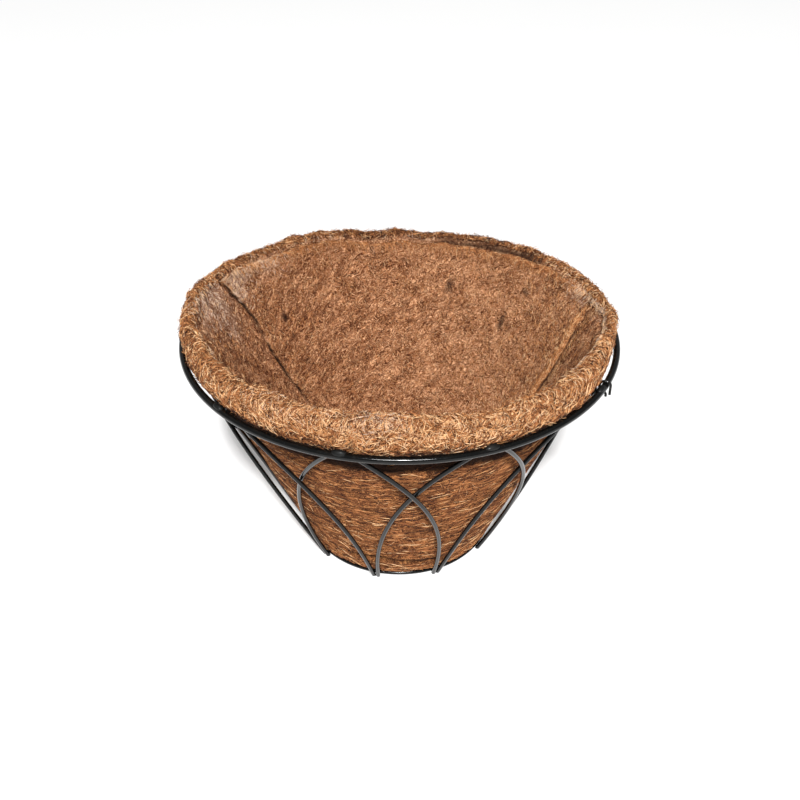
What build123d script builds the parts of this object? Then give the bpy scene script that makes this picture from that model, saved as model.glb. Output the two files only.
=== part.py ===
from build123d import *

import math
import os

# A 14 inch round hanging basket: a welded frame of coated wire with a loose coir fibre liner.
# The origin is on the floor under the middle of the basket, +Z is up and the front faces -Y.
# Angles round the basket are in degrees, counted from the front (-Y) towards the right (+X).

# Frame sizes, in millimetres
RIM_DIAMETER = 356.0  # outside of the rim ring
RIM_WIRE = 5.6
RIM_HEIGHT = 196.0  # floor to the rim ring's centre line
BASE_RING_DIAMETER = 160.0  # centre line of the base ring
BASE_WIRE = 3.2
BASE_RING_HEIGHT = 2.6  # floor to the base ring's centre line
ARCH_WIRE = 3.6
ARCH_COUNT = 10
ARCH_TOP_BEND = 6.0  # radius of the tight bend at the top of each arch
ARCH_VERTEX_HEIGHT = 199.5  # where the two legs would meet without that bend

# One arch leg, as four control values each, from its foot to the vertex of the arch
PITCH = 360 / ARCH_COUNT  # angle from one foot to the next, and from a foot to its arch top
LEG_TURNS = (1.27, 4.0, 12.0, PITCH)  # angle turned from the foot's middle
LEG_RADII = (82.7, 116.5, 139.0, 172.0)  # distance from the basket's axis
LEG_STATIONS = (0.12, 0.24, 0.36, 0.48, 0.60, 0.70, 0.80, 0.90)  # shares of the height
LEG_START = -0.015  # the leg starts just under the floor and is cut off flat there
CROSSING_SHARE = 0.69  # share of the height where two legs cross
CROSSING_OFFSET = 2.05  # each leg moves this far in or out to pass the other one
BEND_SHARE = 0.45  # share of a run that a gentle bend takes up
SHARP_TURN = 60.0  # only the arch top turns more than this

# Rim clip: a hog ring of thin wire closed round the rim ring, beside one arch top
CLIP_WIRE = 2.0
CLIP_ANGLE = 57.6
CLIP_GAP = 0.15  # clearance between the clip and the rim ring
CLIP_TAIL = 7.2  # how far each cut end reaches below the rim's centre line
CLIP_SKEW = 1.8  # each end stands this far to its own side
CLIP_BEND = 3.4  # radius of its three bends round the rim; the last bend is CLIP_WIRE

# Coir liner, as points of its half section: distance from the axis, and height
LINER_OUTSIDE = ((81.2, 4.5), (86.5, 14.0), (137.2, 135.0), (158.0, 180.0), (166.4, 196.0),
                 (173.5, 209.0), (173.0, 219.0))
LINER_OUTSIDE_BENDS = (3.0, 20.0, 400.0, 250.0, 40.0, 8.0)
LINER_TOP_WIDTH = 15.0
LINER_INSIDE = ((156.0, 205.0), (145.0, 180.0), (124.5, 135.0), (78.0, 25.0), (70.0, 16.0))
LINER_INSIDE_BENDS = (40.0, 200.0, 400.0, 12.0, 12.0)
LINER_TOP_BEND = 5.0

RIM_RADIUS = (RIM_DIAMETER - RIM_WIRE) / 2
BASE_RING_RADIUS = BASE_RING_DIAMETER / 2

os.makedirs("parts", exist_ok=True)


def save(piece, name):
    piece.part.label = name
    export_step(piece.part, f"parts/{name}.step")


def around(angle, radius, height):
    """A point at an angle from the front, a distance from the axis and a height."""
    turn = math.radians(angle)
    return Vector(radius * math.sin(turn), -radius * math.cos(turn), height)


def blend(controls, share):
    """The Bezier curve through the first and last of four control values."""
    return sum(
        math.comb(3, i) * (1 - share) ** (3 - i) * share**i * value
        for i, value in enumerate(controls)
    )


def crossing_offset(share):
    """How far a leg stands in or out of the cone: nothing at its ends, most at the crossing."""
    power = math.log(0.5) / math.log(CROSSING_SHARE)
    return CROSSING_OFFSET * math.sin(math.pi * max(share, 0) ** power)


def leg_points(top_angle, side):
    """One leg from its foot up, to the left (-1, inner layer) or right (+1, outer layer)."""
    points = []
    for share in (LEG_START, *LEG_STATIONS):
        angle = top_angle + side * (PITCH - blend(LEG_TURNS, share))
        radius = blend(LEG_RADII, share) + side * crossing_offset(share)
        points.append(around(angle, radius, share * ARCH_VERTEX_HEIGHT))
    return points


def bend_radii(points, sharp_radius):
    """A radius for each corner of a wire: large in the gentle bends, tight in a sharp one."""
    radii = []
    for before, corner, after in zip(points, points[1:], points[2:]):
        turn = (corner - before).get_angle(after - corner)
        if turn > SHARP_TURN:
            radii.append(sharp_radius)
        else:
            run = min((corner - before).length, (after - corner).length)
            radii.append(BEND_SHARE * run / math.tan(math.radians(turn) / 2))
    return radii


def arch_path(top_angle):
    """The centre line of one arch: up the left leg, over its top and down the right leg."""
    vertex = around(top_angle, LEG_RADII[-1], ARCH_VERTEX_HEIGHT)
    points = [*leg_points(top_angle, -1), vertex, *reversed(leg_points(top_angle, 1))]
    with BuildLine() as line:
        FilletPolyline(*points, radius=bend_radii(points, ARCH_TOP_BEND))
    return line.wire()


def ring_of_wire(radius, height, wire):
    with BuildPart() as ring:
        with BuildSketch(Plane.XZ):
            with Locations((radius, height)):
                Circle(wire / 2)
        revolve(axis=Axis.Z)
    return ring


# Rim ring: the thick top wire, closed with a butt weld
save(ring_of_wire(RIM_RADIUS, RIM_HEIGHT, RIM_WIRE), "rim_ring")

# Base ring: the thin bottom wire, inside the feet of the arches
save(ring_of_wire(BASE_RING_RADIUS, BASE_RING_HEIGHT, BASE_WIRE), "base_ring")

# Frame arches: each is one wire bent to a pointed arch, with its top inside the rim ring and
# its two feet outside the base ring, one pitch round to each side of its top
for number in range(ARCH_COUNT):
    path = arch_path((number + 0.5) * PITCH)
    with BuildPart() as arch:
        with BuildSketch(Plane(origin=path @ 0, z_dir=path % 0)):
            Circle(ARCH_WIRE / 2)
        sweep(path=path)
        split(bisect_by=Plane.XY, keep=Keep.TOP)
    save(arch, f"frame_arch_{number + 1:02d}")

# Rim clip: up outside the rim wire, over it, down inside it and back under, with both ends cut
clip_reach = (RIM_WIRE + CLIP_WIRE) / 2 + CLIP_GAP
clip_plane = Plane(
    origin=around(CLIP_ANGLE, RIM_RADIUS, RIM_HEIGHT),
    x_dir=around(CLIP_ANGLE, 1, 0),
    z_dir=around(CLIP_ANGLE - 90, 1, 0),
)
clip_points = [
    clip_plane.from_local_coords(Vector(out, up, along))
    for out, up, along in (
        (clip_reach, -CLIP_TAIL, -CLIP_SKEW),
        (clip_reach, clip_reach, -CLIP_SKEW),
        (-clip_reach, clip_reach, 0),
        (-clip_reach, -clip_reach, CLIP_SKEW),
        (clip_reach / 2, -clip_reach, CLIP_SKEW),
        (clip_reach / 2, -CLIP_TAIL, CLIP_SKEW),
    )
]
with BuildLine() as clip_line:
    FilletPolyline(*clip_points, radius=[CLIP_BEND] * 3 + [CLIP_WIRE])
clip_path = clip_line.wire()
with BuildPart() as clip:
    with BuildSketch(Plane(origin=clip_path @ 0, z_dir=clip_path % 0)):
        Circle(CLIP_WIRE / 2)
    sweep(path=clip_path)
save(clip, "rim_clip")

# Coir liner: a thick pressed fibre bowl that stands above the rim and rests on the base ring
liner_rim_outside = LINER_OUTSIDE[-1]
liner_rim_inside = (liner_rim_outside[0] - LINER_TOP_WIDTH, liner_rim_outside[1])
liner_outline = [
    (0, LINER_OUTSIDE[0][1]),
    *LINER_OUTSIDE,
    liner_rim_inside,
    *LINER_INSIDE,
    (0, LINER_INSIDE[-1][1]),
]
liner_bends = [*LINER_OUTSIDE_BENDS, LINER_TOP_BEND, LINER_TOP_BEND, *LINER_INSIDE_BENDS]
with BuildPart() as liner:
    with BuildSketch(Plane.XZ):
        with BuildLine():
            section = FilletPolyline(*liner_outline, radius=liner_bends)
            Line(section @ 1, section @ 0)
        make_face()
    revolve(axis=Axis.Z)
save(liner, "coir_liner")
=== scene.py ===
import math

import bmesh
import bpy
import numpy as np
from mathutils import Matrix, Vector
from mathutils.kdtree import KDTree


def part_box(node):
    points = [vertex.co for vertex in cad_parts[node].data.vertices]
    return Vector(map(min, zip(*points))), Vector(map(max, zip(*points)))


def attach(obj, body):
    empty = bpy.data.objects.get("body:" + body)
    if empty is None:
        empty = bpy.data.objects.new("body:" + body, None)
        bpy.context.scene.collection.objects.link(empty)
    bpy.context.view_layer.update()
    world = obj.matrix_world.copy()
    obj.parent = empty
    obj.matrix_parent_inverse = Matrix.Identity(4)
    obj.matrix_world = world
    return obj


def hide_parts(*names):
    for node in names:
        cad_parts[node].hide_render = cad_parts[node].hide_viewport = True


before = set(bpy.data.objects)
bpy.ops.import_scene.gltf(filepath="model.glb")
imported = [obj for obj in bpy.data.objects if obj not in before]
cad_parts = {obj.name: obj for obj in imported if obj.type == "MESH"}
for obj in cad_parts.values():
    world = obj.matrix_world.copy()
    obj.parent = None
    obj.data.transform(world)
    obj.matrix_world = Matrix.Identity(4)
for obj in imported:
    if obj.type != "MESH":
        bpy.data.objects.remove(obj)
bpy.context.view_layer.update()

# ---------------------------------------------------------------------------------------------
# Rim ring. The thick top wire carries the whole basket: drawn mild steel rolled to a hoop,
# butt welded where its ends meet, and dipped in a glossy black coat with the rest of the frame.
# ---------------------------------------------------------------------------------------------
MM = 0.001
rim_low, rim_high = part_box("rim_ring")
rim_wire = (rim_high.z - rim_low.z) / 2
rim_radius = rim_high.x - rim_wire
rim_height = (rim_high.z + rim_low.z) / 2
RIM_JOIN = -91.0  # degrees from the front, to the right; the join sits on the left side


class Finish:
    """A material built up node by node round its one Principled shader."""

    def __init__(self, name, **values):
        self.material = bpy.data.materials.new(name)
        self.material.use_nodes = True
        self.tree = self.material.node_tree
        self.shader = self.tree.nodes["Principled BSDF"]
        self.set(**values)

    def set(self, **values):
        """Gives sockets of the shader a value or a link; a name's _ stands for a space."""
        for name, value in values.items():
            self.feed(self.shader.inputs[name.replace("_", " ")], value)

    def feed(self, socket, value):
        if isinstance(value, bpy.types.NodeSocket):
            self.tree.links.new(value, socket)
        else:
            socket.default_value = value

    def node(self, kind, *inputs, **settings):
        """A node with its first inputs fed in order; None leaves one as it is."""
        made = self.tree.nodes.new("ShaderNode" + kind)
        for name, value in settings.items():
            setattr(made, name, value)
        for socket, value in zip(made.inputs, inputs):
            if value is not None:
                self.feed(socket, value)
        return made

    def place(self):
        return self.node("TexCoord").outputs["Object"]

    def noise(self, where, scale, detail=2.0, roughness=0.5, kind="3D"):
        made = self.node("TexNoise", noise_dimensions=kind)
        self.feed(made.inputs["Vector"], where)
        made.inputs["Scale"].default_value = scale
        made.inputs["Detail"].default_value = detail
        made.inputs["Roughness"].default_value = roughness
        return made.outputs["Fac"]

    def span(self, value, low, high, to_low=0.0, to_high=1.0):
        """Stretches low..high to to_low..to_high, and holds it there beyond."""
        return self.node("MapRange", value, low, high, to_low, to_high).outputs[0]

    def sum(self, kind, *values):
        return self.node("Math", *values, operation=kind).outputs[0]

    def vector(self, kind, *values):
        return self.node("VectorMath", *values, operation=kind).outputs[0]

    def mix(self, share, first, second, kind="MIX"):
        made = self.node("Mix", data_type="RGBA", blend_type=kind)
        for index, value in ((0, share), (6, first), (7, second)):
            self.feed(made.inputs[index], value)
        return made.outputs[2]

    def ramp(self, value, *stops):
        made = self.node("ValToRGB", value)
        while len(made.color_ramp.elements) < len(stops):
            made.color_ramp.elements.new(0.5)
        for element, (place, colour) in zip(made.color_ramp.elements, stops):
            element.position = place
            element.color = (*colour, 1)
        return made.outputs["Color"]

    def bump(self, height, strength, depth, below=None):
        made = self.node("Bump")
        made.inputs["Strength"].default_value = strength
        made.inputs["Distance"].default_value = depth
        self.feed(made.inputs["Height"], height)
        if below is not None:
            self.feed(made.inputs["Normal"], below)
        return made.outputs["Normal"]


COAT_BLACK = (0.0020, 0.0022, 0.0022, 1)
COAT_DUST = (0.035, 0.027, 0.02, 1)
COAT_SCUFF = (0.045, 0.046, 0.047, 1)


def black_coat(name, dust, scuff, smooth=0.12):
    """Dipped black coat: glossy, with a slight orange peel, dust in patches and dull scuffs."""
    coat = Finish(name, Metallic=0.0, IOR=1.28, Coat_Weight=0.13, Coat_Roughness=0.04)
    where = coat.place()
    patches = coat.span(coat.noise(where, 120, 6, 0.65), 0.5, 0.78, 0, dust)
    marks = coat.span(coat.noise(coat.vector("MULTIPLY", where, (1, 1, 0.3)), 900, 3), 0.62, 0.7)
    grime = coat.mix(patches, COAT_BLACK, COAT_DUST)
    worn = coat.sum("MULTIPLY", marks, scuff)
    coat.set(
        Base_Color=coat.mix(worn, grime, COAT_SCUFF),
        Roughness=coat.sum("ADD", coat.span(patches, 0, 0.4, smooth, smooth + 0.2), worn),
        Normal=coat.bump(
            coat.noise(where, 1100, 2), 0.12, 0.0002,
            coat.bump(coat.noise(where, 210, 3), 0.14, 0.0006),
        ),
    )
    return coat.material


WIRE_COAT = black_coat("black wire coat", 0.16, 0.14)


def paint(piece, material):
    """Every slot of the piece, or one new slot, takes the material."""
    if not piece.material_slots:
        piece.data.materials.append(material)
    for held in piece.material_slots:
        held.material = material


def around(angle, radius, height):
    """A point in metres from degrees round from the front, a radius and a height."""
    turn = math.radians(angle)
    return Vector((radius * math.sin(turn), -radius * math.cos(turn), height))


def solid(name, points, faces, smooth=True):
    """A mesh object from its points and faces, riding on nothing yet."""
    mesh = bpy.data.meshes.new(name)
    mesh.from_pydata([tuple(p) for p in points], [], [tuple(f) for f in faces])
    mesh.validate()
    mesh.polygons.foreach_set("use_smooth", [smooth] * len(mesh.polygons))
    piece = bpy.data.objects.new(name, mesh)
    bpy.context.scene.collection.objects.link(piece)
    return piece


def butt_weld(name, ring_radius, height, wire, angle, seed):
    """The swollen, roughly ground collar where a ring's two ends are welded together."""
    rng = np.random.default_rng(seed)
    rings, sides = 17, 20
    points, faces = [], []
    for i in range(rings):
        share = i / (rings - 1) * 2 - 1
        turn = angle + math.degrees(share * wire * 1.35 / ring_radius)
        swell = -0.03 * MM + 0.16 * wire * math.exp(-((share / 0.38) ** 2))
        for j in range(sides):
            tilt = 2 * math.pi * j / sides
            thick = wire + swell * (1 + 0.25 * rng.normal() * (1 - abs(share)))
            out = ring_radius + thick * math.cos(tilt)
            points.append(around(turn, out, height + thick * math.sin(tilt)))
    for i in range(rings - 1):
        for j in range(sides):
            k = (j + 1) % sides
            faces.append((i * sides + j, i * sides + k, (i + 1) * sides + k, (i + 1) * sides + j))
    faces.append(range(sides - 1, -1, -1))
    faces.append(range((rings - 1) * sides, rings * sides))
    weld = solid(name, points, faces)
    paint(weld, WIRE_COAT)
    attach(weld, "frame")


paint(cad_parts["rim_ring"], WIRE_COAT)
butt_weld("rim_butt_weld", rim_radius, rim_height, rim_wire, RIM_JOIN, 11)

# ---------------------------------------------------------------------------------------------
# Base ring. A hoop of thin wire on the floor side of the basket, butt welded at the back.
# The feet of the arches are welded to its outside, and the liner's floor rests on it.
# ---------------------------------------------------------------------------------------------
base_low, base_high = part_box("base_ring")
base_wire = (base_high.z - base_low.z) / 2
base_radius = base_high.x - base_wire
base_height = (base_high.z + base_low.z) / 2
BASE_JOIN = 156.0

paint(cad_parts["base_ring"], WIRE_COAT)
butt_weld("base_butt_weld", base_radius, base_height, base_wire, BASE_JOIN, 12)

# ---------------------------------------------------------------------------------------------
# Frame arches. Ten lengths of wire bent to pointed arches, spot welded to the rim ring at their
# tops, to the base ring at their feet and to each other where they cross, before the dip.
# ---------------------------------------------------------------------------------------------
WELD_REACH = 1.1 * MM  # wires nearer than this are welded there
WELD_SPACING = 9.0 * MM
RIM_BEAD, BASE_BEAD, CROSSING_BEAD = 1.5, 1.35, 1.15  # radius in mm
CROWN_BEAD = 2.6 * MM  # radius of the long bead over each arch's top
CROWN_DROP = 0.4 * MM  # its middle is this far under the ring's top
# how far up from a foot's end, and the radius there, in mm
FOOT_DRIP = (
    (0.05, 1.30), (0.25, 1.78), (0.8, 2.06), (1.6, 2.12), (2.6, 2.02), (3.8, 1.87), (4.6, 1.76),
)
arches = sorted(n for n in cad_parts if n.startswith("frame_arch_"))
for arch in arches:
    paint(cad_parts[arch], WIRE_COAT)


def places_of(node):
    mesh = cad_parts[node].data
    places = np.zeros(len(mesh.vertices) * 3, np.float32)
    mesh.vertices.foreach_get("co", places)
    return places.reshape(-1, 3).astype(float)


wire_places = {n: places_of(n) for n in ("rim_ring", "base_ring", *arches)}
wire_trees = {}
for node, places in wire_places.items():
    tree = KDTree(len(places))
    for index, place in enumerate(places):
        tree.insert(place, index)
    tree.balance()
    wire_trees[node] = tree


def contacts(first, second):
    """The places where two wires touch, each as the middle and the way from one to the other."""
    found = []
    for place in wire_places[first]:
        other, _, gap = wire_trees[second].find(place)
        if gap < WELD_REACH:
            found.append((gap, Vector(place), other.copy()))
    found.sort(key=lambda item: item[0])
    kept = []
    for _, here, there in found:
        middle = (here + there) / 2
        if all((middle - m).length > WELD_SPACING for m, _ in kept):
            near = [(a, b) for _, a, b in found if ((a + b) / 2 - middle).length < 2.5 * MM]
            middle = sum(((a + b) / 2 for a, b in near), Vector()) / len(near)
            kept.append((middle, there - here))
    return kept


def weld_bead(bm, middle, across, size, rng, reach=0.72):
    """A small uneven bead of coat and metal that fills the corner between two wires."""
    made = bmesh.ops.create_icosphere(bm, subdivisions=3, radius=1.0)["verts"]
    way = across if across.length > 1e-6 else Vector((middle.x, middle.y, 0))
    turn = way.normalized().to_track_quat("Z", "Y").to_matrix()
    bumps = rng.normal(size=3) * 2
    for v in made:
        swell = 1 + 0.07 * math.sin(3 * v.co.x + bumps[0]) * math.sin(4 * v.co.y + bumps[1])
        local = Vector((v.co.x * size, v.co.y * size, v.co.z * size * reach)) * swell
        v.co = middle + turn @ local


rng = np.random.default_rng(21)
pairs = [("rim_ring", arch, RIM_BEAD) for arch in arches]
pairs += [("base_ring", arch, BASE_BEAD) for arch in arches]
for step in (1, 2):
    pairs += [(arch, arches[(i + step) % len(arches)], CROSSING_BEAD) for i, arch in enumerate(arches)]
beads = bmesh.new()
for first, second, size in pairs:
    for middle, across in contacts(first, second):
        weld_bead(beads, middle, across, size * MM * rng.uniform(0.9, 1.12), rng)
        if first == "rim_ring":
            round_to = math.degrees(math.atan2(middle.x, -middle.y))
            crown = around(round_to, rim_radius, rim_high.z - CROWN_DROP)
            weld_bead(beads, crown, around(round_to + 90, 1, 0), CROWN_BEAD, rng, reach=2.1)
welds = bpy.data.objects.new("wire_welds", bpy.data.meshes.new("wire_welds"))
bpy.context.scene.collection.objects.link(welds)
beads.to_mesh(welds.data)
beads.free()
welds.data.polygons.foreach_set("use_smooth", [True] * len(welds.data.polygons))
paint(welds, black_coat("weld coat", 0.3, 0.2, smooth=0.6))
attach(welds, "frame")

# Meant as the drip of coat round each cut foot. No mesh point of a leg lies near enough to aim
# it by, so each comes out as a point of no size.
points, faces = [], []
for arch in arches:
    places = wire_places[arch]
    low = places[places[:, 2] < 0.25 * MM]
    first = low[0]
    for near in (True, False):
        foot = low[(np.linalg.norm(low - first, axis=1) < 8 * MM) == near]
        if not len(foot):
            continue
        end = Vector(foot.mean(0))
        from_end = np.linalg.norm(places - np.array(end), axis=1)
        leg = places[(from_end < 9 * MM) & (places[:, 2] > 3 * MM)]
        axis = (Vector(leg.mean(0)) - end).normalized()
        side = axis.cross(Vector((0, 0, 1))).normalized()
        other = axis.cross(side)
        start, sides = len(points), 18
        for along, thick in FOOT_DRIP:
            for j in range(sides):
                tilt = 2 * math.pi * j / sides
                ring = side * math.cos(tilt) + other * math.sin(tilt)
                point = end + axis * along * MM + ring * thick * MM * rng.uniform(0.985, 1.015)
                point.z = max(point.z, 0.03 * MM)
                points.append(point)
        for i in range(len(FOOT_DRIP) - 1):
            for j in range(sides):
                k = (j + 1) % sides
                a, b = start + i * sides, start + (i + 1) * sides
                faces.append((a + j, a + k, b + k, b + j))
        faces.append(range(start + sides - 1, start - 1, -1))
        faces.append(range(start + (len(FOOT_DRIP) - 1) * sides, start + len(FOOT_DRIP) * sides))
drips = solid("foot_drips", points, faces)
paint(drips, WIRE_COAT)
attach(drips, "frame")

# ---------------------------------------------------------------------------------------------
# Rim clip. A hog ring of thin wire squeezed round the rim ring with pliers after the dip;
# its jaws have scuffed the black paint, and its two cut ends stick out below.
# ---------------------------------------------------------------------------------------------
paint(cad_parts["rim_clip"], black_coat("clip paint", 0.3, 0.9))

# ---------------------------------------------------------------------------------------------
# Coir liner. A thick mat of tangled coconut fibre, cut and pressed into a bowl: springy and
# golden where its cut edge stands over the rim, and flat, matted and redder where it was pressed.
# ---------------------------------------------------------------------------------------------
COLUMNS = 520
FIRST_COLUMN = -120.0  # degrees; the pattern's join lies on the left, near the mat's own seam
# height of the standing edge over the middle of the rim wire, in mm, at places round the rim
EDGE_HEIGHTS = (
    (-175, 6), (-169, 9.5), (-160, 12.5), (-148, 15.5), (-139, 14), (-129, 17.5), (-117, 20),
    (-106, 24), (-95, 25), (-60, 25.5), (-30, 27), (0, 27.5), (40, 26.5), (84, 23), (98, 19),
    (108, 16), (122, 13.5), (133, 11.5), (143, 8), (153, 8.5), (163, 8.5), (170, 6.5), (177, 8),
)
# the mat's section, from the middle of its underside out, up, over its edge and down inside:
# radius and height in mm, and how many rows of the mesh lead to the next point
SECTION = (
    (0, 3.6, 7), (40, 3.9, 8), (77.5, 4.6, 3), (82.3, 7.2, 15), (92.6, 30, 10), (104.5, 58, 13),
    (121, 98, 12), (137, 136, 10), (151, 166.5, 3), (151.6, 170, 4), (153.5, 183, 5), (161, 191, 4),
    (170.6, 197.5, 4), (174.9, 0.26, 5), (175.6, 0.76, 3), (173.4, 1.0, 3), (167.5, 1.03, 3),
    (161.5, 0.97, 3), (158.4, 0.76, 5), (155.5, 203, 8), (145, 180, 14), (124.5, 135, 15),
    (101.5, 80, 14), (79, 26, 5), (70, 16.5, 6), (40, 15.6, 6), (0, 15.2, 0),
)
EDGE_FIRST, EDGE_LAST = 13, 18  # those of them whose height is a share of the standing edge
EDGE_FOOT = 198.0
# how much thinner the standing edge is at places round the rim, in mm; it lost this inside
EDGE_WORN = (
    (-150, 4), (-130, 5), (-115, 7), (-95, 7), (-72, 3), (-50, 0), (40, 0), (56, 3.5), (67, 7),
    (78, 10), (98, 9.5), (110, 8.5), (130, 5), (165, 3.5),
)
# how far the standing edge leans out past its usual place, in mm
EDGE_LEAN = (
    (-135, -1.5), (-118, -4), (-104, -3), (-85, -2.6), (-72, -2.8), (-60, -2.2), (-48, 0), (30, 0),
    (46, -1), (56, -4.5), (70, -5.5), (82, -4), (96, -5), (112, -4), (130, -2), (150, -1),
)
# a fold pressed across the front, just over the base: angle and height
FOLD = ((-36, 27.5), (-31, 27), (-12, 29), (1.5, 24), (18, 22), (24, 21))
# the mat's flap: its right edge stands proud inside the bowl, its left edge is pressed in;
# both as height in mm and angle
FLAP_RIGHT = (
    (20, 96), (60, 97), (100, 96), (123, 94), (146, 92), (166, 92), (186, 92.5), (198, 93), (222, 90),
)
FLAP_LEFT = (
    (20, 216), (60, 224), (80, 228.5), (102, 233), (119, 236), (141, 238.5), (164, 239), (183, 241),
    (200, 244.5), (225, 248),
)
FLAP_THICK = 4.2


def patches(rng, rows, columns, across, along, wrap=True):
    """Smooth random values from -1 to 1 on a rows x columns grid, with across x along patches."""
    coarse = rng.uniform(-1, 1, (along + 3, across + 3))
    if wrap:
        coarse[:, across:] = coarse[:, :3]
    u = np.arange(columns) / columns * across if wrap else np.linspace(0, across, columns)
    v = np.linspace(0, along, rows)
    i, j = v.astype(int), u.astype(int)
    f, g = (v - i)[:, None], (u - j)[None, :]
    f, g = f * f * (3 - 2 * f), g * g * (3 - 2 * g)
    upper = coarse[i][:, j] * (1 - g) + coarse[i][:, j + 1] * g
    lower = coarse[i + 1][:, j] * (1 - g) + coarse[i + 1][:, j + 1] * g
    return upper * (1 - f) + lower * f


def grid_normals(grid, wrap=True):
    """Unit normals of a grid of points; columns run round the bowl and rows along its section."""
    if wrap:
        across = np.roll(grid, -1, 1) - np.roll(grid, 1, 1)
    else:
        across = np.gradient(grid, axis=1)
    along = np.gradient(grid, axis=0)
    normals = np.cross(across, along)
    return normals / np.maximum(np.linalg.norm(normals, axis=2, keepdims=True), 1e-12)


def facing_out(grid, row, wrap=True):
    """The grid's normals, turned over if those of a row in its wall point into the bowl."""
    normals = grid_normals(grid, wrap)
    return normals if (normals[row, :, :2] * grid[row, :, :2]).sum() >= 0 else -normals


def set_floats(mesh, name, values):
    made = mesh.attributes.new(name, "FLOAT", "POINT")
    made.data.foreach_set("value", np.asarray(values, np.float32).ravel())


rng = np.random.default_rng(31)
angles = FIRST_COLUMN + np.arange(COLUMNS) * 360 / COLUMNS
edge_places, edge_values = zip(*EDGE_HEIGHTS)
edge_top = rim_height / MM + np.interp(angles, edge_places, edge_values, period=360)
edge_top += 1.3 * patches(rng, 1, COLUMNS, 34, 1)[0] + 0.9 * patches(rng, 1, COLUMNS, 90, 1)[0]


def section_grid(section, tops):
    """Radius and height of every point of the mat, one column for each place round the rim."""
    radii, heights = [], []
    for index, (radius, height, _) in enumerate(section):
        on_edge = EDGE_FIRST <= index <= EDGE_LAST
        fixed = np.full(len(tops), float(height))
        radii.append(np.full(len(tops), float(radius)))
        heights.append(EDGE_FOOT + height * (tops - EDGE_FOOT) if on_edge else fixed)
    rows_r, rows_z = [], []
    for index, (_, _, rows) in enumerate(section[:-1]):
        for k in range(rows):
            share = k / rows
            rows_r.append(radii[index] * (1 - share) + radii[index + 1] * share)
            rows_z.append(heights[index] * (1 - share) + heights[index + 1] * share)
    rows_r.append(radii[-1])
    rows_z.append(heights[-1])
    r, z = np.array(rows_r), np.array(rows_z)
    for _ in range(3):
        for a in (r, z):
            a[1:-1] = (a[:-2] + 2 * a[1:-1] + a[2:]) / 4
    return r, z


row_starts = np.cumsum([0] + [rows for _, _, rows in SECTION[:-1]])
mat_r, mat_z = section_grid(SECTION, edge_top)
ROWS = len(mat_r)
row = np.arange(ROWS)[:, None]
inside = row >= row_starts[17]  # from the top's inner corner down


def between(value, low, high):
    share = np.clip((value - low) / (high - low), 0, 1)
    return share * share * (3 - 2 * share)


def flap_edges(height):
    return np.interp(height, *zip(*FLAP_RIGHT)), np.interp(height, *zip(*FLAP_LEFT))


# the flap lies in a hollow of the mat, so that the bowl is equally thick all round
turned = (angles[None, :] + 360) % 360
right_edge, left_edge = flap_edges(mat_z)
seam_gap = 1.0 + 0.8 * patches(rng, ROWS, COLUMNS, 80, 60)
hollow = between(turned, right_edge + 1.5, right_edge + 2.6)
hollow *= 1 - between(turned, left_edge + 0.25 * seam_gap, left_edge + 0.25 * seam_gap + 0.6)
gaping = between(turned, 118, 130) * (1 - between(turned, 160, 168))
over_flap = between(mat_z, edge_top - 6, edge_top - 3)
hollow *= inside * between(mat_z, 28, 40) * (1 - over_flap * (1 - gaping))
mat_r += hollow * FLAP_THICK
worn = np.interp(angles, *zip(*EDGE_WORN), period=360)[None, :]
worn = worn + 1.5 * patches(rng, 1, COLUMNS, 30, 1) + 0.8 * patches(rng, 1, COLUMNS, 90, 1)
mat_r += worn * (row >= row_starts[15]) * between(mat_z, 192, 212) * (1 - between(mat_r, 162, 173))
mat_r += np.interp(angles, *zip(*EDGE_LEAN), period=360)[None, :] * between(mat_z, 197, 203)

# unevenness: broad waves, hand-sized dents, lumps of fibre; it only ever goes inwards outside
standing = between(mat_z, 199, 205) * (row <= row_starts[19])
wall = between(mat_z, 6, 30)
waves = patches(rng, ROWS, COLUMNS, 9, 4) + 0.6 * patches(rng, ROWS, COLUMNS, 23, 9)
lumps = patches(rng, ROWS, COLUMNS, 95, 42)
grain = patches(rng, ROWS, COLUMNS, 230, 110)
mat_r += np.where(inside, 0.55, 0.7) * waves * wall - np.where(inside, 0, 0.9) * wall * (1 - standing)
fold_line = np.interp(angles, *zip(*FOLD))[None, :]
folded = (between(angles, -40, -29) * (1 - between(angles, 13, 25)))[None, :] * ~inside
mat_r -= 2.6 * folded * np.exp(-((mat_z - fold_line) / 1.7) ** 2)
mat_r += 1.2 * folded * np.exp(-((mat_z - fold_line - 4.5) / 2.5) ** 2)
mat_r += 0.9 * folded * np.exp(-((mat_z - fold_line + 6) / 4) ** 2)
mat_grid = np.stack([
    mat_r * np.sin(np.radians(angles)), -mat_r * np.cos(np.radians(angles)), mat_z
], 2) * MM
mat_normals = facing_out(mat_grid, row_starts[6])
lift = lumps * np.where(inside, 0.16, 0.38) + grain * np.where(inside, 0.10, 0.22)
tufted = patches(rng, ROWS, COLUMNS, 130, 60) + 0.7 * patches(rng, ROWS, COLUMNS, 58, 30)
lift = (lift * (1 + standing) + 1.25 * standing * tufted) * between(mat_r, 3, 25)
mat_grid = mat_grid + mat_normals * lift[..., None] * MM
mat_normals = facing_out(mat_grid, row_starts[6])


def travelled(grid):
    """How far in mm each point of a grid lies along its column from the first row."""
    steps = np.linalg.norm(np.diff(grid, axis=0), axis=2) / MM
    return np.vstack([np.zeros(grid.shape[1]), np.cumsum(steps, 0)])


LAY_PER_DEGREE = 2.6  # mm of pattern to a degree round the bowl, true near its mouth


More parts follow.
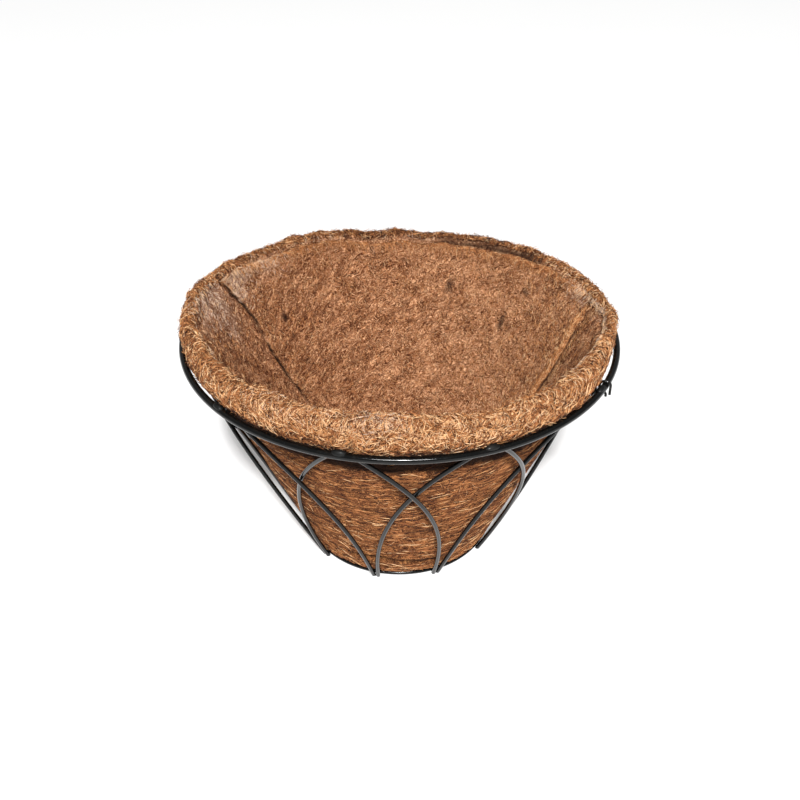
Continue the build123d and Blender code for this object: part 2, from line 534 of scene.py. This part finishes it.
def mat_object(name, grid, closed_round, attributes, flat_rows=()):
    """A grid of points as a mesh. Its pattern runs along the rows and columns, but on flat_rows,
    where the columns draw to a point, it lies flat."""
    rows, columns = grid.shape[:2]
    index = np.arange(rows * columns).reshape(rows, columns)
    a, b = index[:-1], index[1:]
    if closed_round:
        a2, b2 = np.roll(a, -1, 1), np.roll(b, -1, 1)
    else:
        a, a2, b, b2 = a[:, :-1], a[:, 1:], b[:, :-1], b[:, 1:]
    quads = np.stack([a, a2, b2, b], -1).reshape(-1, 4)
    mesh = bpy.data.meshes.new(name)
    mesh.from_pydata(grid.reshape(-1, 3).tolist(), [], quads.tolist())
    travel = travelled(grid)
    if closed_round:
        u = np.tile(np.linspace(0, 360, columns + 1) * LAY_PER_DEGREE, (rows, 1))
    else:
        u = travelled(grid.transpose(1, 0, 2)).T
    v = np.hstack([travel, travel[:, :1]]) if closed_round else travel
    corners = np.stack([
        np.stack([u[:-1, :-1], v[:-1, :-1]], -1), np.stack([u[:-1, 1:], v[:-1, 1:]], -1),
        np.stack([u[1:, 1:], v[1:, 1:]], -1), np.stack([u[1:, :-1], v[1:, :-1]], -1),
    ], 2)
    around_index = np.vstack([index.T, index[:, :1].T]).T if closed_round else index
    level = grid.reshape(-1, 3)[around_index][..., :2] / MM
    for i in flat_rows:
        corners[i] = np.stack([level[i, :-1], level[i, 1:], level[i + 1, 1:], level[i + 1, :-1]], 1)
    lay = mesh.uv_layers.new(name="lay")
    lay.data.foreach_set("uv", corners.reshape(-1).astype(np.float32))
    for key, values in attributes.items():
        set_floats(mesh, key, values)
    mesh.polygons.foreach_set("use_smooth", [True] * len(mesh.polygons))
    piece = bpy.data.objects.new(name, mesh)
    bpy.context.scene.collection.objects.link(piece)
    return piece


def spot(height, angle, at_height, at_angle, tall, wide):
    """1 at a place on the bowl, fading to 0 round it; tall in mm and wide in degrees."""
    off = (angle - at_angle + 180) % 360 - 180
    return np.exp(-((height - at_height) / tall) ** 2 - (off / wide) ** 2)


def seam(value, at, wide):
    """1 where an angle or a small length is at a line, fading to 0 beside it."""
    return np.exp(-(((value - at + 180) % 360 - 180) / wide) ** 2)


# where the mat is golden and bleached grey, and where it is painted dark: painted shade under the rim
# wire, in the fold, in the cracks beside the flap's edges, round the foot and in the crevice at the back
# lip, and a few dark specks
seam_rng = np.random.default_rng(32)
far_round = np.abs((angles + 180) % 360 - 180)[None, :]
gold = standing * (1 - 0.5 * between(far_round, 95, 130)) * (0.65 + 0.35 * between(mat_z, 200, 212))
gold = gold * (1 - between(row, row_starts[17], row_starts[18]))
gold = np.maximum(gold, 0.85 * inside * seam(angles, right_edge - 2.6, 1.4) * between(mat_z, 60, 110))
bleach = inside * (
    1.4 * spot(mat_z, angles, 212, -103, 17, 10) + 1.1 * spot(mat_z, angles, 193, -106, 20, 6)
    + 0.2 * seam(row, row_starts[18], 2.5)
)
strip = between(angles, 18, 62) * (1 - between(angles, 96, 102)) + 0.6 * seam(angles, -66, 9)
bleach += 1.3 * inside * strip[None, :] * seam(row, row_starts[18], 0.9)
bleach += 0.9 * seam(angles, -9, 6)[None, :] * seam(row, row_starts[16], 5)
bleach *= 0.75 + 0.5 * patches(seam_rng, ROWS, COLUMNS, 120, 60)
faded = between(patches(rng, ROWS, COLUMNS, 26, 14), 0.35, 0.8)
bleach = np.clip(bleach + 0.2 * standing * faded, 0, 1)
outside = row < row_starts[15]
ragged = 3.0 * patches(seam_rng, ROWS, COLUMNS, 60, 4)
# painted shade: a dark band on the outside under the rim wire, standing in for the rim's shadow, with a
# ragged lower edge
shade_and_specks = outside * between(mat_z + ragged, 163, 168) * (1 - between(mat_z, 190, 195.5))
# painted shade along the crease of the fold across the front
shade_and_specks = np.maximum(shade_and_specks, folded * seam(mat_z, fold_line, 2.6))
# painted shade round the foot, over the base ring, with a ragged upper edge
foot_band = (row >= row_starts[2] - 1) & outside
shade_and_specks = np.maximum(shade_and_specks, 0.85 * foot_band * (1 - between(mat_z + ragged, 6.0, 9.5)))
# painted shade in the crevice under the top of the gaping back lip
shade_and_specks = np.maximum(shade_and_specks, 0.9 * inside * gaping * seam(mat_z, edge_top - 3.4, 2.2))
broken = np.clip(0.75 + 0.9 * patches(seam_rng, ROWS, COLUMNS, 60, 46), 0, 1)
# painted shade in the cracks on the mat beside the flap's two edges
left_seam_shade = seam(angles, left_edge, 0.75) * between(mat_z, 84, 100)
right_seam_shade = seam(angles, right_edge - 0.5, 0.8) * between(mat_z, 50, 100)
shade_and_specks = np.maximum(shade_and_specks, 0.95 * inside * broken * left_seam_shade)
shade_and_specks = np.maximum(shade_and_specks, 0.9 * inside * broken * right_seam_shade)
blots = spot(mat_z, angles, 77, 3, 2.6, 5) + spot(mat_z, angles, 107, -12.6, 2, 1.2)
shade_and_specks += 0.55 * outside * blots
shade_and_specks = np.clip(shade_and_specks, 0, 1)

PALE = (0.80, 0.50, 0.26)
GOLD = (0.53, 0.232, 0.080)
TAN = (0.335, 0.124, 0.043)
RUST = (0.150, 0.048, 0.016)
UMBER = (0.028, 0.0085, 0.0035)
ASH = (0.45, 0.295, 0.21)
SMOKE = (0.30, 0.175, 0.115)
SILVER = (0.66, 0.48, 0.37)
# near black for the painted shade and the dark specks
SHADE_AND_SPECK_BLACK = (0.013, 0.0052, 0.003, 1)
BLEACHED_STRAND = (0.54, 0.395, 0.31)


def coir_mat(name, lays, darkest, dark, light, lightest):
    """Matted coir: crossing fibres, each lay a noise stretched along it, and dark gaps between.
    lays holds for each its heading in degrees and its fibres' length and width in mm."""
    coir = Finish(name, Roughness=0.9, Specular_IOR_Level=0.1)
    lay = coir.node("UVMap", uv_map="lay").outputs["UV"]
    drift = coir.node("TexNoise", noise_dimensions="2D")
    coir.feed(drift.inputs["Vector"], lay)
    drift.inputs["Scale"].default_value = 0.09
    drift.inputs["Detail"].default_value = 3
    swerve = coir.vector("SUBTRACT", drift.outputs["Color"], (0.5, 0.5, 0.5))
    bent = coir.vector("ADD", lay, coir.vector("MULTIPLY", swerve, (16, 16, 0)))
    tangle = 0.0
    for number, (way, length, width) in enumerate(lays):
        turner = coir.node("VectorRotate", bent, None, None, math.radians(way), rotation_type="Z_AXIS")
        drawn = coir.vector("MULTIPLY", turner.outputs[0], (1 / length, 1 / width, 1))
        drawn = coir.vector("ADD", drawn, (17.3 * number, 5.9 * number, 0))
        tangle = coir.sum("MAXIMUM", tangle, coir.noise(drawn, 1.0, 2.0, 0.6, "2D"))
    broad = coir.span(coir.noise(lay, 0.06, 5, 0.62, "2D"), 0.33, 0.67, -0.035, 0.035)
    shade = coir.sum("ADD", tangle, broad)
    stops = (0.555, 0.60, 0.65, 0.715)
    colour = coir.ramp(shade, *zip(stops, (darkest, dark, light, lightest)))
    gilt = coir.node("Attribute", attribute_name="gold").outputs["Fac"]
    colour = coir.mix(gilt, colour, coir.ramp(shade, *zip(stops, (UMBER, RUST, GOLD, PALE))))
    ashen = coir.ramp(shade, *zip(stops, (dark, SMOKE, ASH, SILVER)))
    colour = coir.mix(coir.node("Attribute", attribute_name="bleach").outputs["Fac"], colour, ashen)
    # near black mixed in where the mesh carries painted shade (under the rim, in the fold, cracks and
    # crevices, round the foot) and dark specks
    shade_and_specks_share = coir.node("Attribute", attribute_name="shade_and_specks").outputs["Fac"]
    colour = coir.mix(coir.sum("MULTIPLY", shade_and_specks_share, 0.95), colour, SHADE_AND_SPECK_BLACK)
    coir.set(Base_Color=colour, Normal=coir.bump(coir.span(tangle, 0.5, 0.8), 0.85, 0.0009))
    return coir.material


OUTER_MAT = coir_mat(
    "matted coir outside",
    ((4, 13, 1.0), (24, 10, 1.0), (-17, 10, 1.0), (62, 6, 0.9), (-50, 6, 0.9)),
    UMBER, RUST, TAN, GOLD,
)
INNER_MAT = coir_mat(
    "pressed coir inside",
    ((88, 5, 0.8), (52, 4, 0.75), (125, 4, 0.75), (18, 3.5, 0.75), (-22, 3.5, 0.75)),
    (0.062, 0.018, 0.007), (0.225, 0.085, 0.036), (0.42, 0.178, 0.082), (0.78, 0.44, 0.24),
)

mat_attributes = {"gold": gold, "bleach": bleach, "shade_and_specks": shade_and_specks}
floor_rows = [*range(row_starts[2]), *range(row_starts[24], ROWS - 1)]
liner = mat_object("coir_mat", mat_grid, True, mat_attributes, floor_rows)
bm = bmesh.new()
bm.from_mesh(liner.data)
bmesh.ops.remove_doubles(bm, verts=[v for v in bm.verts if v.co.xy.length < 0.3 * MM], dist=0.7 * MM)
bmesh.ops.dissolve_degenerate(bm, edges=bm.edges, dist=1e-6)
bmesh.ops.recalc_face_normals(bm, faces=bm.faces)
bm.to_mesh(liner.data)
bm.free()
liner.data.materials.append(OUTER_MAT)
liner.data.materials.append(INNER_MAT)
for face in liner.data.polygons:
    middle = face.center
    out = face.normal.x * middle.x + face.normal.y * middle.y
    face.material_index = 1 if (face.normal.z > 0.02 and out < 0.2 * middle.xy.length) else 0
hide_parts("coir_liner")
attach(liner, "liner")

# The flap. The mat is slit and lapped over itself at the back of the bowl: the lapped layer's
# right edge was cut and stands proud, and its left edge is pressed in until only a crack shows.
FLAP_FOOT = 24.0
EDGE_ROUND = 2.0  # mm over which the flap's edges are rounded
INNER_WALL = ((26, 79), (80, 101.5), (135, 124.5), (180, 145), (203, 155.5), (214, 158), (226, 158.5))


def graded(length, step):
    """Distances from one end to the other, closer together near both ends."""
    ends = np.array([0, 0.12, 0.4, 0.85, 1.4, 2.1])
    middle = np.linspace(3.2, length - 3.2, int((length - 6.4) / step) + 1)
    return np.concatenate([ends, middle, length - ends[::-1]])


flap_shares = graded(330.0, 2.1) / 330.0
flap_rises = graded(205.0, 2.1) / 205.0
top_angles = 91 + flap_shares * 156
dip = 4.0 + 1.2 * between(top_angles, 134, 140) * (1 - between(top_angles, 148, 156))
flap_tops = np.interp(top_angles, angles % 360, edge_top, period=360) - dip
flap_tops += 0.5 * patches(rng, 1, len(flap_shares), 60, 1, wrap=False)[0]
flap_z = FLAP_FOOT + flap_rises[:, None] * (flap_tops - FLAP_FOOT)[None, :]
flap_right, flap_left = flap_edges(flap_z)
flap_ragged = 0.35 * patches(rng, len(flap_rises), 1, 1, 50, wrap=False)
flap_angle = flap_right + flap_ragged + flap_shares[None, :] * (flap_left - flap_right)
wall_r = np.interp(flap_z, *zip(*INNER_WALL))
wall_r += np.interp(flap_angle, *zip(*EDGE_WORN), period=360) * between(flap_z, 192, 212)
wall_r += np.interp(flap_angle, *zip(*EDGE_LEAN), period=360) * between(flap_z, 197, 203)
proud = 0.2 + 2.6 * np.exp(-((flap_shares / 0.16) ** 2))[None, :]
proud = proud + 0.5 * patches(rng, len(flap_rises), len(flap_shares), 14, 9, wrap=False)
proud = proud + 0.14 * patches(rng, len(flap_rises), len(flap_shares), 70, 45, wrap=False)
proud = proud * between(flap_z, 24, 60) * (1 - 0.9 * between(flap_z, flap_tops - 22, flap_tops - 6))
from_right = flap_shares[None, :] * np.radians(flap_left - flap_right) * wall_r
from_left = (1 - flap_shares)[None, :] * np.radians(flap_left - flap_right) * wall_r
from_ends = np.minimum(flap_z - FLAP_FOOT, flap_tops[None, :] - flap_z)
nearest = np.clip(np.minimum(np.minimum(from_right, from_left), from_ends) / EDGE_ROUND, 0, 1)
fullness = np.sqrt(np.clip(1 - (1 - nearest) ** 2, 0, 1))
flap_middle = wall_r - proud + FLAP_THICK / 2
flap_faces = []
for side in (-1, 1):
    radius = flap_middle + side * fullness * (FLAP_THICK / 2 - 0.15)
    flap_turn = np.radians(flap_angle)
    flap_faces.append(np.stack([radius * np.sin(flap_turn), -radius * np.cos(flap_turn), flap_z], 2) * MM)
flap_gold = np.clip(1.2 - from_right / 6, 0, 1)
flap_gold = flap_gold + 0.25 * np.clip(1 - (flap_tops[None, :] - flap_z) / 5, 0, 1)
flap_bleach = (
    0.85 * spot(flap_z, flap_angle, 206, -122, 11, 7) + 0.5 * spot(flap_z, flap_angle, 205, -136, 9, 8)
    + 0.9 * spot(flap_z, flap_angle, 199, -118, 17, 4) + 0.75 * spot(flap_z, flap_angle, 208, 101, 7, 8)
)
flap_bleach *= 0.75 + 0.5 * patches(seam_rng, len(flap_rises), len(flap_shares), 60, 50, wrap=False)
flap_broken = np.clip(0.8 + 0.9 * patches(seam_rng, len(flap_rises), 1, 1, 46, wrap=False), 0, 1)
# painted shade in the crack along the flap's pressed-in left edge and in a gap near its proud right edge,
# and dark specks
flap_shade_and_specks = 0.95 * flap_broken * np.exp(-(from_left / 1.4) ** 2) * between(flap_z, 84, 100)
flap_gap_shade = flap_broken * np.exp(-((from_right - 3.6) / 0.8) ** 2) * between(flap_z, 60, 90)
flap_shade_and_specks = np.maximum(flap_shade_and_specks, 0.9 * flap_gap_shade)
flap_shade_and_specks = flap_shade_and_specks + (
    1.1 * spot(flap_z, flap_angle, 158, -134.5, 3, 1.3)
    + 0.8 * spot(flap_z, flap_angle, 141, -135.5, 2, 1)
    + 0.95 * spot(flap_z, flap_angle, 167, 156, 5, 1.2)
    + 0.95 * spot(flap_z, flap_angle, 151, 130.5, 6.5, 1.2)
    + 0.7 * spot(flap_z, flap_angle, 182, 125, 3, 1.6)
    + 0.6 * spot(flap_z, flap_angle, 116, -138, 3, 1.3)
)
flap_marks = {"gold": flap_gold, "bleach": flap_bleach, "shade_and_specks": flap_shade_and_specks}
flap_marks = {name: np.clip(values, 0, 1) for name, values in flap_marks.items()}
flap, back = (
    mat_object(f"coir_flap_{n}", face, False, flap_marks) for n, face in enumerate(flap_faces)
)
bm = bmesh.new()
bm.from_mesh(flap.data)
bm.from_mesh(back.data)
bmesh.ops.remove_doubles(bm, verts=bm.verts, dist=0.02 * MM)
bmesh.ops.dissolve_degenerate(bm, edges=bm.edges, dist=1e-6)
bmesh.ops.recalc_face_normals(bm, faces=bm.faces)
bm.to_mesh(flap.data)
bm.free()
bpy.data.objects.remove(back)
flap.name = "coir_flap"
flap.data.materials.append(INNER_MAT)
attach(flap, "liner")

# Loose strands. Every face of the mat is a tangle of single fibres, 10 to 30 mm long: stiff and
# springy on the cut edge, combed round the outside, and pressed flat down the inside.
RINGS, SIDES = 5, 3  # cross sections along a strand, and corners of each
MOST_STRANDS = 6800  # in one piece
SHARE_SHOWN = 1.0

BLEACHED = 1.25  # the tone of a bleached strand; those of the others run from 0, dark, to 1, pale
strand = Finish("coir strands", Roughness=0.7, Specular_IOR_Level=0.25)
tone = strand.node("Attribute", attribute_name="tone").outputs["Fac"]
mottled = strand.sum("ADD", tone, strand.span(strand.noise(strand.place(), 420, 3), 0.3, 0.7, -0.1, 0.1))
tones = zip((0, 0.25, 0.5, 0.75, 1.0, BLEACHED), (UMBER, RUST, TAN, GOLD, PALE, BLEACHED_STRAND))
strand_colour = strand.ramp(
    strand.sum("MULTIPLY", mottled, 1 / BLEACHED), *[(place / BLEACHED, colour) for place, colour in tones]
)
strand.set(Base_Color=strand_colour)
STRANDS = strand.material


def surface_at(grid, rows, columns, wrap):
    """Points between the grid's own points."""
    rows = np.clip(rows, 0, grid.shape[0] - 1.001)
    i = rows.astype(int)
    f = (rows - i)[..., None]
    if wrap:
        columns = columns % grid.shape[1]
        j = columns.astype(int) % grid.shape[1]
        k = (j + 1) % grid.shape[1]
    else:
        columns = np.clip(columns, 0, grid.shape[1] - 1.001)
        j = columns.astype(int)
        k = j + 1
    g = (columns - np.floor(columns))[..., None]
    before = grid[i, j] * (1 - g) + grid[i, k] * g
    after = grid[i + 1, j] * (1 - g) + grid[i + 1, k] * g
    return before * (1 - f) + after * f


def lay_strands(name, seed, face, spots, headings, lengths, widths, lifts, ends, tones):
    """Strands laid over a face of the mat. Each follows the face at its own small height, bends a
    little, and may lift off at one end; ends gives how far that end stands off, in mm."""
    grid, normals, wrap = face
    rng = np.random.default_rng(seed)
    rows, columns = spots
    count = len(rows)
    here = surface_at(grid, rows, columns, wrap)
    beyond = surface_at(grid, rows + 1, columns, wrap), surface_at(grid, rows, columns + 1, wrap)
    row_mm, column_mm = (np.maximum(np.linalg.norm(b - here, axis=1) / MM, 0.4) for b in beyond)
    bend = rng.normal(0, 13, count)
    kink = rng.normal(0, 5, (count, RINGS))
    steps = np.linspace(0, 1, RINGS)
    way = np.radians(headings[:, None] + bend[:, None] * (steps - 0.5)[None, :] + kink)
    stride = lengths[:, None] / (RINGS - 1)
    along = np.cumsum(np.sin(way) * stride, 1)
    across = np.cumsum(np.cos(way) * stride, 1)
    along -= along.mean(1, keepdims=True)
    across -= across.mean(1, keepdims=True)
    path_rows = rows[:, None] + along / row_mm[:, None]
    path_columns = columns[:, None] + across / column_mm[:, None]
    path = surface_at(grid, path_rows, path_columns, wrap)
    up = surface_at(normals, path_rows, path_columns, wrap)
    height = lifts[:, None] + rng.normal(0, 0.12, (count, RINGS)) * np.minimum(1, lifts[:, None] * 2)
    height = height + ends[:, None] * steps[None, :] ** 1.6
    path = path + up * height[..., None] * MM
    ahead = np.gradient(path, axis=1)
    ahead /= np.maximum(np.linalg.norm(ahead, axis=2, keepdims=True), 1e-12)
    side = np.cross(ahead, up)
    side /= np.maximum(np.linalg.norm(side, axis=2, keepdims=True), 1e-9)
    over = np.cross(side, ahead)
    taper = np.array([0.45, 0.9, 1.0, 0.85, 0.35])
    radius = widths[:, None] * taper[None, :] / 2 * MM
    corners = []
    for j in range(SIDES):
        tilt = 2 * math.pi * j / SIDES + math.pi / 2
        offset = side * math.cos(tilt) + over * math.sin(tilt)
        corners.append(path + offset * radius[..., None])
    points = np.stack(corners, 2)  # strand, ring, corner
    index = np.arange(RINGS * SIDES).reshape(RINGS, SIDES)
    a, b = index[:-1], index[1:]
    quads = np.stack([a, np.roll(a, -1, 1), np.roll(b, -1, 1), b], -1).reshape(-1, 4)
    caps = np.array([index[0, ::-1], index[-1]])
    made = 0
    for start in range(0, count, MOST_STRANDS):
        part = slice(start, start + MOST_STRANDS)
        amount = len(rows[part])
        shift = np.arange(amount)[:, None, None] * RINGS * SIDES
        faces = (quads[None] + shift).reshape(-1, 4).tolist()
        faces += (caps[None] + shift).reshape(-1, 3).tolist()
        made += 1
        mesh = bpy.data.meshes.new(f"{name}_{made}")
        mesh.from_pydata(points[part].reshape(-1, 3).tolist(), [], faces)
        mesh.polygons.foreach_set("use_smooth", [True] * len(mesh.polygons))
        set_floats(mesh, "tone", np.repeat(tones[part], RINGS * SIDES))
        piece = bpy.data.objects.new(f"{name}_{made}", mesh)
        bpy.context.scene.collection.objects.link(piece)
        mesh.materials.append(STRANDS)
        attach(piece, "liner")


def scatter(rng, grid, count, first_row, last_row, keep=None):
    """Random places on part of a grid, evenly by area, thinned out by keep where it is given."""
    count = int(count * SHARE_SHOWN)
    rows = rng.uniform(first_row, last_row, count * 4)
    columns = rng.uniform(0, grid.shape[1], count * 4)
    i, j = rows.astype(int), columns.astype(int) % grid.shape[1]
    i2, j2 = np.minimum(i + 1, grid.shape[0] - 1), (j + 1) % grid.shape[1]
    area = np.linalg.norm(grid[i2, j] - grid[i, j], axis=1)
    area = area * np.linalg.norm(grid[i, j2] - grid[i, j], axis=1)
    chance = area / np.percentile(area, 98)
    if keep is not None:
        chance = chance * keep[i, j]
    chosen = np.flatnonzero(rng.uniform(0, 1, count * 4) < chance)[:count]
    return rows[chosen], columns[chosen]


def marked(rng, tones, marks, spots, wrap):
    """The tones, made pale on the bleached patches and dark where the painted shade and the dark specks
    lie.
    """
    bleach, dark = (surface_at(mark[..., None], *spots, wrap)[:, 0] for mark in marks)
    pale = BLEACHED - rng.uniform(0, 0.2, len(tones))
    tones = np.where(rng.uniform(0, 1, len(tones)) < 0.9 * bleach, pale, tones)
    return np.clip(tones - 1.3 * dark, 0, BLEACHED)


mat_face = (mat_grid, mat_normals, True)

# the standing edge: thick, every way, with deep gaps
rng = np.random.default_rng(41)
spots = scatter(rng, mat_grid, 22000, row_starts[12] - 1, row_starts[17] + 2)
n = len(spots[0])
low_down = 1 - between(surface_at(mat_grid, *spots, True)[:, 2] / MM, 200, 214)
# the edge's strands are paler towards the front, darker round the back and darker lower down the edge
round_from_front = np.interp(spots[1], np.arange(COLUMNS), far_round[0])
front_tone = 0.5 + 0.26 * np.exp(-(round_from_front / 52) ** 2)
front_tone = front_tone - 0.12 * between(round_from_front, 100, 135)
lay_strands(
    "coir_edge_strands", 42, mat_face, spots,
    headings=rng.uniform(0, 180, n) * (1 - 0.4 * low_down) + rng.normal(0, 12, n),
    lengths=rng.uniform(3, 10, n), widths=rng.uniform(0.32, 0.72, n), lifts=rng.uniform(-0.3, 1.5, n),
    ends=np.where(rng.uniform(0, 1, n) < 0.15, rng.uniform(0.4, 2.2, n), 0),
    tones=marked(
        rng, np.clip(rng.normal(front_tone, 0.42) - 0.34 * low_down, 0.0, 1.04),
        (0.75 * bleach, shade_and_specks), spots, True,
    ),
)

# tufts that stand off the top of the edge
spots = scatter(rng, mat_grid, 3400, row_starts[14], row_starts[17])
n = len(spots[0])
lay_strands(
    "coir_tufts", 43, mat_face, spots,
    headings=rng.uniform(0, 360, n), lengths=rng.uniform(3, 9, n), widths=rng.uniform(0.3, 0.55, n),
    lifts=rng.uniform(0.2, 1.2, n), ends=rng.uniform(0.6, 3.8, n),
    tones=np.clip(rng.normal(0.45, 0.3, n), 0.0, 1),
)

# the outside: combed round the bowl
off_fold = 1 - folded * np.exp(-((mat_z - fold_line) / 6.5) ** 4)
spots = scatter(rng, mat_grid, 14000, row_starts[3], row_starts[13] - 2, keep=off_fold)
n = len(spots[0])
# outside strands darken where the mat carries painted shade and dark specks
shade_and_specks_here = surface_at(shade_and_specks[..., None], *spots, True)[:, 0]
lay_strands(
    "coir_outside_strands", 44, mat_face, spots,
    headings=rng.normal(3, 16, n) + np.where(rng.uniform(0, 1, n) < 0.22, rng.uniform(-90, 90, n), 0),
    lengths=rng.uniform(6, 19, n), widths=rng.uniform(0.26, 0.55, n), lifts=rng.uniform(-0.05, 0.6, n),
    ends=rng.uniform(0, 0.25, n), tones=np.clip(rng.normal(0.31, 0.36, n) - 0.8 * shade_and_specks_here, 0.0, 1),
)

# frayed ends round the foot, over the base ring
spots = scatter(rng, mat_grid, 1700, row_starts[2] + 1, row_starts[3] + 4)
n = len(spots[0])
lay_strands(
    "coir_foot_strands", 49, mat_face, spots,
    headings=rng.uniform(-40, 40, n), lengths=rng.uniform(4, 11, n), widths=rng.uniform(0.28, 0.5, n),
    lifts=rng.uniform(0.1, 0.8, n), ends=rng.uniform(0.0, 1.0, n),
    tones=np.clip(rng.normal(0.38, 0.3, n), 0.0, 1),
)

# the inside: pressed flat, running down the bowl
spots = scatter(rng, mat_grid, 15000, row_starts[17] + 1, row_starts[26] - 4, keep=1 - hollow)
n = len(spots[0])
lay_strands(
    "coir_inside_strands", 45, mat_face, spots,
    headings=rng.normal(88, 60, n), lengths=rng.uniform(1.6, 5.5, n), widths=rng.uniform(0.24, 0.46, n),
    lifts=rng.uniform(-0.02, 0.2, n), ends=rng.uniform(0, 0.15, n),
    tones=marked(rng, np.clip(rng.normal(0.5, 0.3, n), 0.0, 1), (bleach, shade_and_specks), spots, True),
)

# the bleached strip just inside the standing edge
along_strip = inside * strip[None, :] * seam(row, row_starts[18], 0.8)
spots = scatter(rng, mat_grid, 9000, row_starts[17], row_starts[19], keep=along_strip)
n = len(spots[0])
lay_strands(
    "coir_bleached_strands", 50, mat_face, spots,
    headings=rng.normal(0, 28, n), lengths=rng.uniform(2, 5, n), widths=rng.uniform(0.3, 0.5, n),
    lifts=rng.uniform(0.5, 1.6, n), ends=rng.uniform(0, 0.3, n), tones=rng.uniform(1.0, BLEACHED, n),
)

# the flap's inner face
flap_face = (flap_faces[0], -facing_out(flap_faces[0], 50, wrap=False), False)
spots = scatter(rng, flap_faces[0], 19000, 3, len(flap_rises) - 6)
spots = (np.maximum(spots[0], 4), np.clip(spots[1], 4, flap_faces[0].shape[1] - 6))
n = len(spots[0])
lay_strands(
    "coir_flap_strands", 46, flap_face, spots,
    headings=rng.normal(88, 60, n), lengths=rng.uniform(1.6, 5.5, n), widths=rng.uniform(0.24, 0.46, n),
    lifts=rng.uniform(-0.02, 0.2, n), ends=rng.uniform(0, 0.15, n),
    tones=marked(
        rng, np.clip(rng.normal(0.5, 0.3, n), 0.0, 1), (flap_bleach, flap_shade_and_specks), spots, False
    ),
)

# the flap's cut edges: short golden ends
edge_count = int(4200 * SHARE_SHOWN)
spots = (rng.uniform(20, len(flap_rises) - 2, edge_count), rng.uniform(0, 7.5, edge_count))
n = len(spots[0])
lay_strands(
    "coir_flap_edge_strands", 47, flap_face, spots,
    headings=rng.normal(80, 40, n), lengths=rng.uniform(2, 7, n), widths=rng.uniform(0.28, 0.55, n),
    lifts=rng.uniform(0.0, 0.6, n), ends=rng.uniform(0, 0.7, n),
    tones=np.clip(rng.normal(0.58, 0.3, n), 0.0, 1),
)
spots = scatter(rng, flap_faces[0], 60000, len(flap_rises) - 7, len(flap_rises) - 1)
spots = tuple(a[:3200] for a in spots)
n = len(spots[0])
lay_strands(
    "coir_flap_top_strands", 48, flap_face, spots,
    headings=rng.uniform(0, 180, n), lengths=rng.uniform(4, 10, n), widths=rng.uniform(0.25, 0.5, n),
    lifts=rng.uniform(0.0, 0.5, n), ends=rng.uniform(0, 0.9, n),
    tones=marked(
        rng, np.clip(rng.normal(0.5, 0.28, n), 0.0, 1), (flap_bleach, flap_shade_and_specks), spots, False
    ),
)

# ---------------------------------------------------------------------------------------------
# Floor, light and camera. A pale studio floor under one hard main light high in front, with a
# long narrow soft box beside it that draws the highlights on the wires, and an even pale room.
# ---------------------------------------------------------------------------------------------
bm = bmesh.new()
bmesh.ops.create_circle(bm, cap_ends=True, segments=96, radius=9.0)
floor = bpy.data.objects.new("studio_floor", bpy.data.meshes.new("studio_floor"))
bpy.context.scene.collection.objects.link(floor)
bm.to_mesh(floor.data)
bm.free()
floor.location.z = -0.05 * MM
pale = Finish("pale floor", Roughness=0.85, Specular_IOR_Level=0.2)
shade, tint = (0.885, 0.885, 0.885, 1), (0.905, 0.905, 0.90, 1)
pale.set(Base_Color=pale.mix(pale.noise(pale.place(), 3, 4), shade, tint))
paint(floor, pale.material)

world = bpy.data.worlds.new("studio")
bpy.context.scene.world = world
world.use_nodes = True
room = world.node_tree.nodes["Background"].inputs
room["Color"].default_value = (1, 1, 1, 1)
room["Strength"].default_value = 0.3

VIEW_TURN = -4.685  # degrees round from the front
VIEW_DROP = 34.18  # degrees below the level
VIEW_ROLL = 0.33
VIEW_DISTANCE = 5.0 * rim_radius
middle = Vector((0, 0, rim_height))
turn = Matrix.Rotation(math.radians(VIEW_TURN), 3, "Z")
drop, roll = math.radians(VIEW_DROP), math.radians(VIEW_ROLL)
forward = turn @ Vector((0, math.cos(drop), -math.sin(drop)))
level = turn @ Vector((1, 0, 0))
upright = level.cross(forward)
across = level * math.cos(roll) + upright * math.sin(roll)
upward = upright * math.cos(roll) - level * math.sin(roll)
camera = bpy.data.objects.new("camera", bpy.data.cameras.new("camera"))
bpy.context.scene.collection.objects.link(camera)
camera.data.lens = 48.21
camera.data.sensor_width = 36
place = middle - forward * VIEW_DISTANCE + across * 0.0013 * rim_radius - upward * 0.3254 * rim_radius
camera.matrix_world = Matrix((
    (across.x, upward.x, -forward.x, place.x),
    (across.y, upward.y, -forward.y, place.y),
    (across.z, upward.z, -forward.z, place.z),
    (0, 0, 0, 1),
))
bpy.context.scene.camera = camera


def soft_box(name, angle, height, distance, wide, tall, power, aim):
    """A rectangular studio light, aimed at a point; angle from the front, height in degrees."""
    lamp = bpy.data.lights.new(name, "AREA")
    lamp.shape = "RECTANGLE"
    lamp.size, lamp.size_y = wide, tall
    lamp.energy = power
    made = bpy.data.objects.new(name, lamp)
    bpy.context.scene.collection.objects.link(made)
    up = math.radians(height)
    made.location = aim + around(angle, distance * math.cos(up), distance * math.sin(up))
    made.rotation_mode = "QUATERNION"
    made.rotation_quaternion = (made.location - aim).to_track_quat("Z", "Y")


LIGHT_TURN = VIEW_TURN + 2
sun = bpy.data.objects.new("main light", bpy.data.lights.new("main light", "SUN"))
bpy.context.scene.collection.objects.link(sun)
sun.data.energy = 3.0
sun.data.angle = math.radians(3.5)
sun.rotation_mode = "QUATERNION"
sun_up = math.radians(47)
to_sun = around(LIGHT_TURN, math.cos(sun_up), math.sin(sun_up))
sun.rotation_quaternion = to_sun.to_track_quat("Z", "Y")
soft_box("key light", LIGHT_TURN, 44, 2.2, 0.9, 0.12, 42, Vector((0, 0, 0.12)))
bpy.context.scene.view_settings.view_transform = "Standard"
